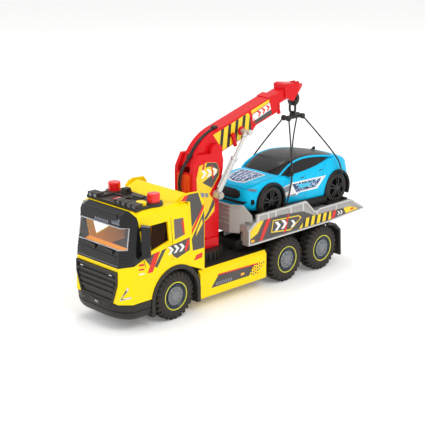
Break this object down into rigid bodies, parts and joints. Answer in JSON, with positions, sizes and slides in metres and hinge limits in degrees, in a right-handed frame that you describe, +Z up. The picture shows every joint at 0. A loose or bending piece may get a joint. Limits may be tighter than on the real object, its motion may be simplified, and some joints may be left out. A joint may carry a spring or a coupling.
{
  "type": "toy tow truck",
  "caption": "Toy recovery truck: three axles, cab with roof lights, slewing crane with telescopic boom and sling, sliding tilting bed carrying a small car",
  "frame": {"origin": "on the ground under the middle of the truck's length and width", "axes": "+X forward to the cab, +Y to the truck's left, +Z up"},
  "size_m": [0.538, 0.153, 0.315],
  "materials": {
    "yellow": "gloss",
    "black": "satin",
    "gloss_black": "gloss",
    "red": "gloss",
    "grey": "satin",
    "silver": "satin",
    "clear": "clear",
    "red_clear": "clear",
    "tyre": "matte",
    "steel": "satin",
    "blue": "gloss",
    "dark_glass": "gloss",
    "orange": "satin",
    "cord": "woven"
  },
  "bodies": {
    "chassis": {"chassis_frame": "black", "battery_box": "black", "battery_cover": "black", "assembly_screws": "steel", "front_fenders": "black", "side_skirts": "yellow", "rear_mudguards": "black", "cab_shell": "yellow", "cab_mask": "gloss_black", "windscreen": "clear", "cab_interior": "orange", "cab_seats": "black", "grille": "gloss_black", "front_bumper": "black", "mirrors": "gloss_black", "wipers": "black", "light_bar": "black", "beacons": "red_clear", "roof_spoiler": "yellow", "side_fairings": "yellow", "turntable_base": "black"},
    "front_wheels": {"tyres_front": "tyre", "rims_front": "grey", "axle_front": "steel"},
    "middle_wheels": {"tyres_middle": "tyre", "rims_middle": "grey", "axle_middle": "steel"},
    "rear_wheels": {"tyres_rear": "tyre", "rims_rear": "grey", "axle_rear": "steel"},
    "button": {"sound_button": "yellow"},
    "crane": {"crane_column": "red", "crane_window": "red_clear", "boom_pin": "red", "lift_pins": "steel", "hose_foot": "black"},
    "boom": {"boom_outer": "red", "hose_clips": "black", "crane_hoses": "black"},
    "boom_extension": {"boom_inner": "red", "boom_head": "red", "crane_hook": "black"},
    "lift_barrels": {"lift_barrels": "silver"},
    "lift_rods": {"lift_rods": "silver"},
    "sling": {"sling_ring": "black", "sling_spreader": "black", "sling_leg_front_left": "cord", "sling_leg_front_right": "cord", "sling_leg_rear_left": "cord", "sling_leg_rear_right": "cord"},
    "bed_carriage": {"bed_carriage": "black", "bed_hinge_pin": "steel"},
    "bed": {"bed_deck": "grey", "bed_headboard": "grey"},
    "car": {"car_body": "blue", "car_cabin": "dark_glass", "car_chassis": "black", "wheel_cradles": "black"},
    "car_front_wheels": {"car_wheels_front": "black"},
    "car_rear_wheels": {"car_wheels_rear": "black"}
  },
  "joints": [
    {"name": "front_axle", "type": "hinge", "parent": "chassis", "child": "front_wheels", "pos_m": [0.167, 0, 0.038], "axis": [0, 1, 0], "continuous": true},
    {"name": "middle_axle", "type": "hinge", "parent": "chassis", "child": "middle_wheels", "pos_m": [-0.0774, 0, 0.038], "axis": [0, 1, 0], "continuous": true},
    {"name": "rear_axle", "type": "hinge", "parent": "chassis", "child": "rear_wheels", "pos_m": [-0.1634, 0, 0.038], "axis": [0, 1, 0], "continuous": true},
    {"name": "sound_button", "type": "slide", "parent": "chassis", "child": "button", "axis": [0, 0, -1], "range_m": [0, 0.0015], "stiffness_N_per_m": 600, "springref_m": -0.0005},
    {"name": "crane_slew", "type": "hinge", "parent": "chassis", "child": "crane", "pos_m": [0.065, 0, 0.1], "axis": [0, 0, 1], "range_deg": [-120, 120]},
    {"name": "boom_luff", "type": "hinge", "parent": "crane", "child": "boom", "pos_m": [0.041, 0, 0.231], "axis": [0, 1, 0], "range_deg": [-8, 20], "deforming": ["crane_hoses"]},
    {"name": "boom_extend", "type": "slide", "parent": "boom", "child": "boom_extension", "axis": [-0.9583, 0, 0.2857], "range_m": [0, 0.045]},
    {"name": "lift_barrel_pivot", "type": "hinge", "parent": "crane", "child": "lift_barrels", "pos_m": [0.045, 0, 0.164], "axis": [0, 1, 0], "range_deg": [-5, 11]},
    {"name": "lift_rod_stroke", "type": "slide", "parent": "lift_barrels", "child": "lift_rods", "axis": [-0.5782, 0, 0.8159], "range_m": [-0.006, 0.013]},
    {"name": "sling_hang", "type": "hinge", "parent": "boom_extension", "child": "sling", "pos_m": [-0.154, 0, 0.284], "axis": [0, 1, 0], "range_deg": [-21, 9], "deforming": ["sling_leg_front_left", "sling_leg_front_right", "sling_leg_rear_left", "sling_leg_rear_right"]},
    {"name": "bed_slide", "type": "slide", "parent": "chassis", "child": "bed_carriage", "axis": [-1, 0, 0], "range_m": [0, 0.07]},
    {"name": "bed_tilt", "type": "hinge", "parent": "bed_carriage", "child": "bed", "pos_m": [-0.205, 0, 0.088], "axis": [0, -1, 0], "range_deg": [0, 10]},
    {"name": "car_lift", "type": "slide", "parent": "bed", "child": "car", "axis": [0, 0, 1], "range_m": [0, 0.025]},
    {"name": "car_front_axle", "type": "hinge", "parent": "car", "child": "car_front_wheels", "pos_m": [-0.05334, 0, 0.13722], "axis": [0, 1, 0], "continuous": true},
    {"name": "car_rear_axle", "type": "hinge", "parent": "car", "child": "car_rear_wheels", "pos_m": [-0.21417, 0, 0.12991], "axis": [0, 1, 0], "continuous": true}
  ],
  "couplings": [
    {"joint": "lift_barrel_pivot", "follows": "boom_luff", "ratio": 0.4815},
    {"joint": "lift_rod_stroke", "follows": "boom_luff", "m_per_rad": 0.033},
    {"joint": "sling_hang", "follows": "boom_luff", "ratio": -1}
  ]
}
